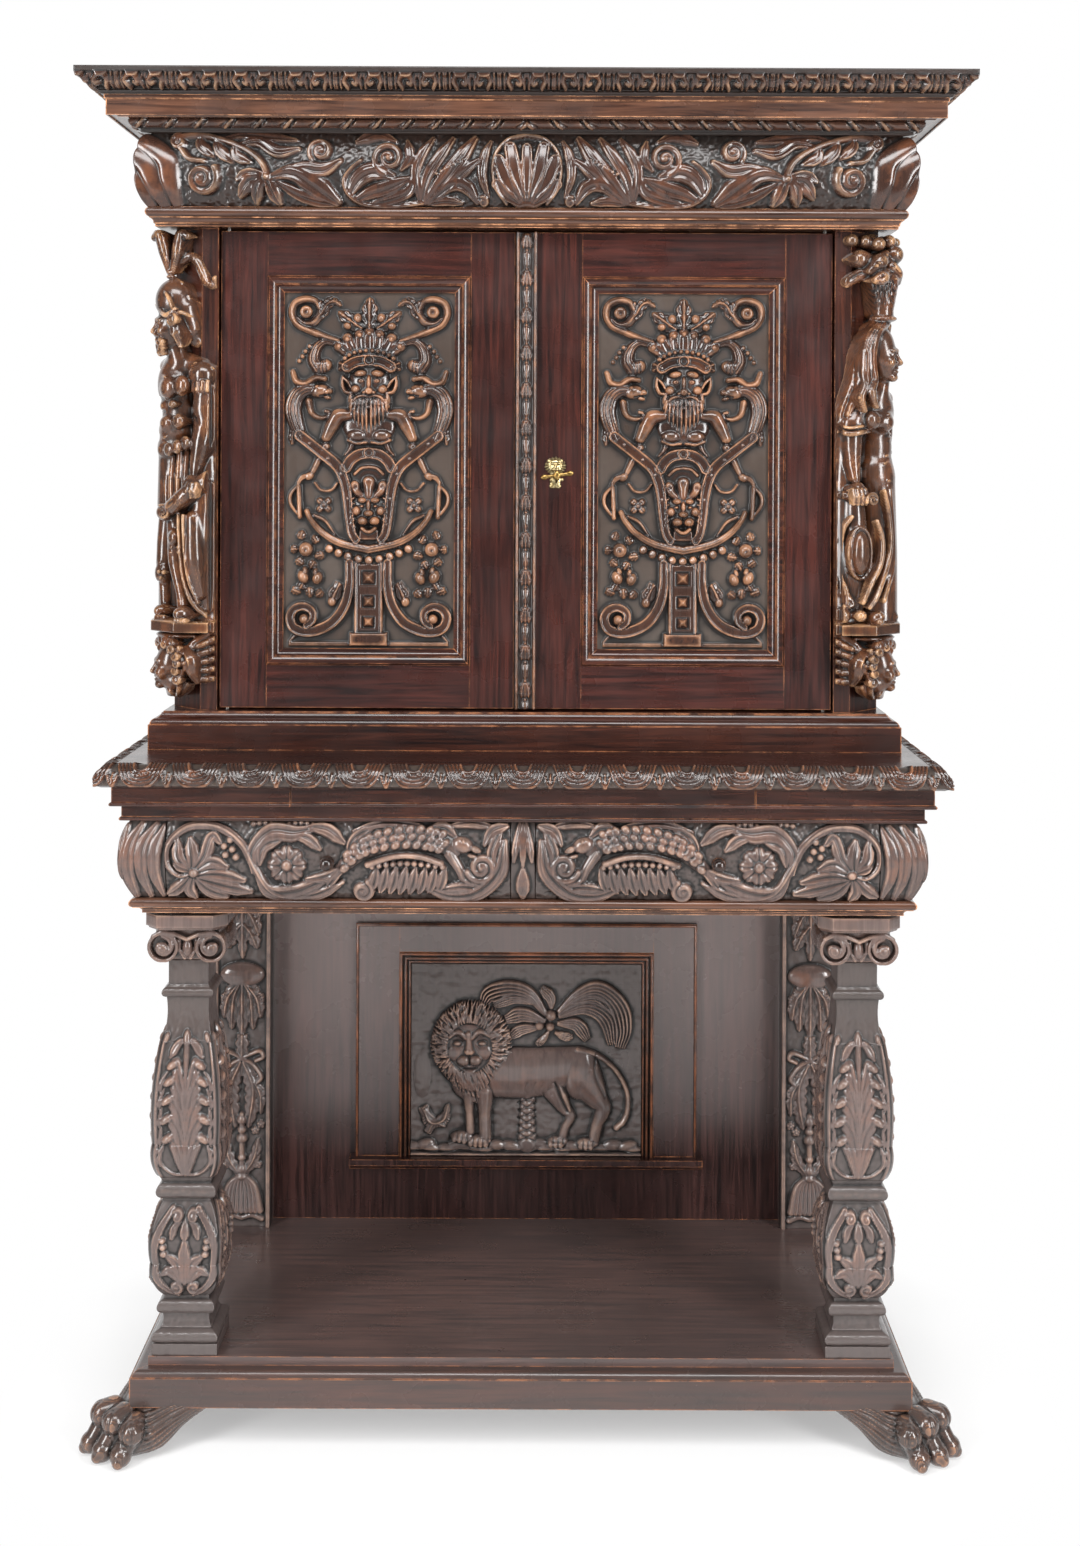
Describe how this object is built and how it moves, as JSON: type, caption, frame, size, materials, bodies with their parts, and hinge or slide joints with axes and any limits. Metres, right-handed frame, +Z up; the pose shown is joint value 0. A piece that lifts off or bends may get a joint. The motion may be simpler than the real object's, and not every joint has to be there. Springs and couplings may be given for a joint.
{
  "type": "cabinet on stand",
  "caption": "Carved wooden two-door cabinet over an open stand with frieze drawers, a pull-out slide, baluster columns and paw feet, for storage and display.",
  "frame": {"origin": "on the floor, under the middle of the outer box", "axes": "+Z up, front faces -Y, +X to the right seen from the front"},
  "size_m": [1.224, 0.5325, 1.868],
  "materials": {
    "walnut": "stained and waxed, worn on edges",
    "inner_wood": "plain, unpolished",
    "brass": "aged",
    "dark_knob": "turned and polished",
    "steel": "worn"
  },
  "bodies": {
    "stand": {"apron_moulding": "walnut", "architrave_moulding": "walnut", "cabinet_back": "inner_wood", "cabinet_ceiling": "inner_wood", "cabinet_floor": "inner_wood", "cabinet_plinth": "walnut", "cabinet_sides": "walnut", "case_boards": "inner_wood", "case_guides": "inner_wood", "column_capitals": "walnut", "column_left": "walnut", "column_right": "walnut", "corner_corbels": "walnut", "corner_posts": "walnut", "cornice_corona": "walnut", "cornice_crown": "walnut", "door_pivot_pins": "steel", "dust_board": "inner_wood", "frieze_blocks": "walnut", "interior_shelf": "inner_wood", "lower_fascia": "walnut", "maiden_figure": "walnut", "niche_frame": "walnut", "paw_foot_left": "walnut", "paw_foot_right": "walnut", "platform_board": "walnut", "plinth_rails": "walnut", "rear_feet": "inner_wood", "rear_pilasters": "walnut", "relief_frame": "walnut", "relief_panel": "walnut", "ribbon_moulding": "walnut", "side_frieze_boards": "walnut", "stand_back_board": "walnut", "table_top": "walnut", "upper_fascia": "walnut", "upper_frieze": "walnut", "warrior_figure": "walnut"},
    "left_door": {"left_door_frame": "walnut", "left_door_panel": "walnut", "left_door_moulding": "walnut", "left_pivot_plates": "brass", "left_door_fittings": "brass"},
    "right_door": {"right_door_frame": "walnut", "right_door_panel": "walnut", "right_door_moulding": "walnut", "right_pivot_plates": "brass", "astragal": "walnut", "escutcheon": "brass", "lock_case": "steel"},
    "key": {"key": "brass"},
    "lock_bolt": {"lock_bolt": "steel"},
    "left_door_bolt": {"left_door_bolt": "steel"},
    "left_drawer": {"left_drawer_front": "walnut", "left_drawer_box": "inner_wood", "left_drawer_knob": "dark_knob"},
    "right_drawer": {"right_drawer_front": "walnut", "right_drawer_box": "inner_wood", "right_drawer_knob": "dark_knob"},
    "writing_slide": {"writing_slide": "walnut"}
  },
  "joints": [
    {"name": "left_door_hinge", "type": "hinge", "parent": "stand", "child": "left_door", "pos_m": [-0.423, -0.086, 1.3225], "axis": [0, 0, -1], "range_deg": [0, 95]},
    {"name": "right_door_hinge", "type": "hinge", "parent": "stand", "child": "right_door", "pos_m": [0.423, -0.086, 1.3225], "axis": [0, 0, 1], "range_deg": [0, 95]},
    {"name": "key_turn", "type": "hinge", "parent": "right_door", "child": "key", "pos_m": [0.044, -0.092, 1.316], "axis": [0, 1, 0], "range_deg": [0, 180]},
    {"name": "lock_bolt_slide", "type": "slide", "parent": "right_door", "child": "lock_bolt", "axis": [-1, 0, 0], "range_m": [0, 0.01]},
    {"name": "left_bolt_slide", "type": "slide", "parent": "left_door", "child": "left_door_bolt", "axis": [0, 0, 1], "range_m": [0, 0.012]},
    {"name": "left_drawer_slide", "type": "slide", "parent": "stand", "child": "left_drawer", "axis": [0, -1, 0], "range_m": [0, 0.3]},
    {"name": "right_drawer_slide", "type": "slide", "parent": "stand", "child": "right_drawer", "axis": [0, -1, 0], "range_m": [0, 0.3]},
    {"name": "writing_slide_pull", "type": "slide", "parent": "stand", "child": "writing_slide", "axis": [0, -1, 0], "range_m": [0, 0.28]}
  ],
  "couplings": [
    {"joint": "lock_bolt_slide", "follows": "key_turn", "m_per_rad": 0.0031831}
  ]
}
